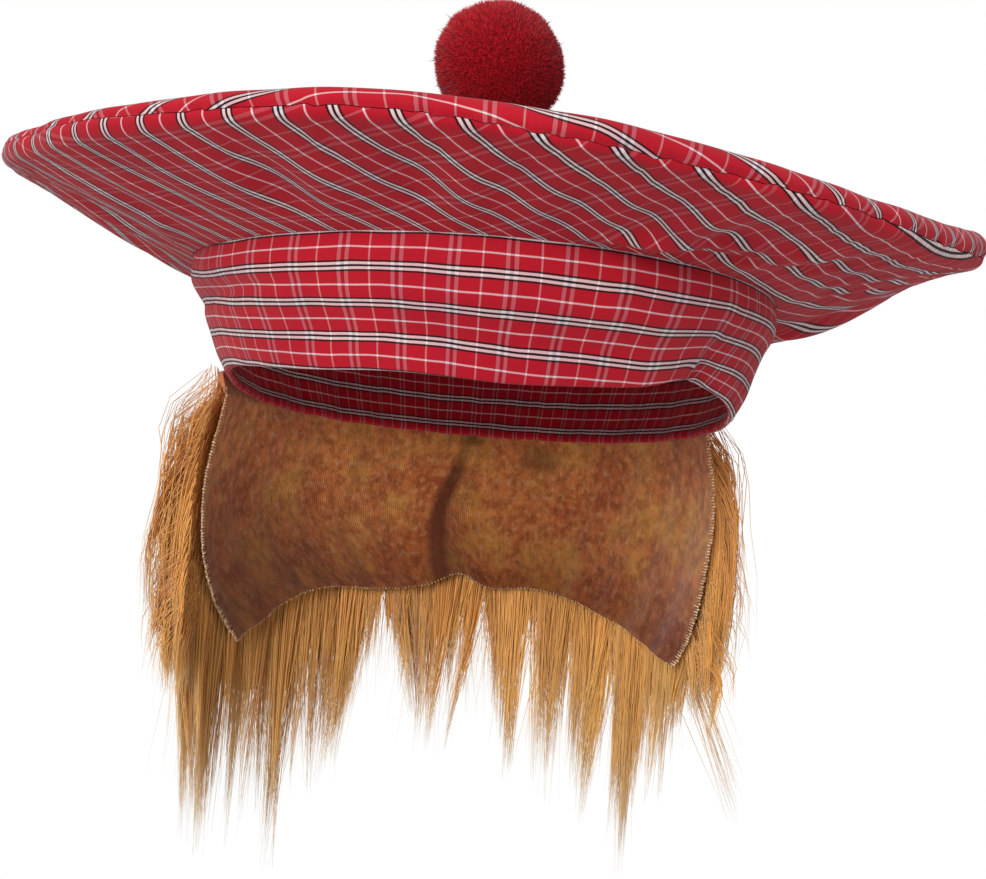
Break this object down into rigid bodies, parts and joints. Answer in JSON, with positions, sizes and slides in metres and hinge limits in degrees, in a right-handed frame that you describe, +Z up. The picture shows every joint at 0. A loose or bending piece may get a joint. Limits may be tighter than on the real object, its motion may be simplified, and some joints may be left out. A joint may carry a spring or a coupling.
{
  "type": "tartan bonnet with fur hair flap",
  "caption": "Wide round tartan bonnet with a cloth headband, a pompom on top, and a long-haired fur flap hanging from the back of the band.",
  "frame": {"origin": "middle of the headband's opening at the level of its lower edge, where a head goes in", "axes": "+Z up, -Y to the front of the hat, +X to the right of someone who looks at its front"},
  "size_m": [0.3001, 0.3, 0.2731],
  "materials": {
    "tartan_cloth": "thin red twill with black, white and pink tartan lines",
    "red_pile": "dense dark red cut pile",
    "knit_backing": "brushed brown knit",
    "ginger_fur": "long glossy ginger pile"
  },
  "bodies": {
    "root": {"crown_top": "tartan_cloth", "crown_underside": "tartan_cloth", "headband": "tartan_cloth", "pompom": "red_pile", "hair_backing": "knit_backing", "hair": "ginger_fur"}
  },
  "joints": []
}
